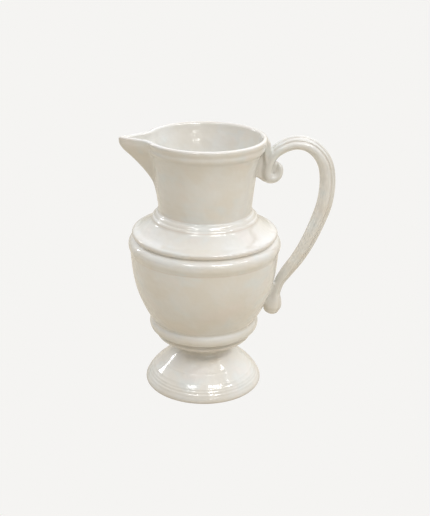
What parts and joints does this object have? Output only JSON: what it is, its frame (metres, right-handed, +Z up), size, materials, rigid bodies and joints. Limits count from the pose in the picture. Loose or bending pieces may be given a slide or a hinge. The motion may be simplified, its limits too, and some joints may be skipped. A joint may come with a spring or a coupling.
{
  "type": "footed ceramic pitcher",
  "caption": "Footed ivory-glazed pitcher with a banded belly, flared neck, beak spout and a tall scrolled loop handle.",
  "frame": {"origin": "middle of the bounding box's underside, on the plane the foot stands on; the vessel's own axis is 22 mm towards the spout from here", "axes": "+Z up along the vessel's axis; -X the way the spout pours, +X the handle; the XZ plane is the plane of symmetry"},
  "size_m": [0.2027, 0.1454, 0.25],
  "materials": {
    "ivory_glaze": "glossy clear glaze over an ivory body, thinner and warmer on edges, pooled in the grooves",
    "ivory_slip": "matt fired clay slip, under glaze where it shows"
  },
  "bodies": {
    "root": {"pedestal_foot": "ivory_glaze", "stem_collar": "ivory_glaze", "belly_bowl": "ivory_glaze", "lower_belly_band": "ivory_glaze", "belly_band": "ivory_glaze", "shoulder": "ivory_glaze", "neck_ring": "ivory_glaze", "neck": "ivory_glaze", "pouring_spout": "ivory_glaze", "upper_scroll": "ivory_glaze", "handle_strap": "ivory_glaze", "lower_scroll": "ivory_glaze", "foot_slip": "ivory_slip", "stem_slip": "ivory_slip", "upper_handle_joint": "ivory_slip", "lower_handle_joint": "ivory_slip"}
  },
  "joints": []
}
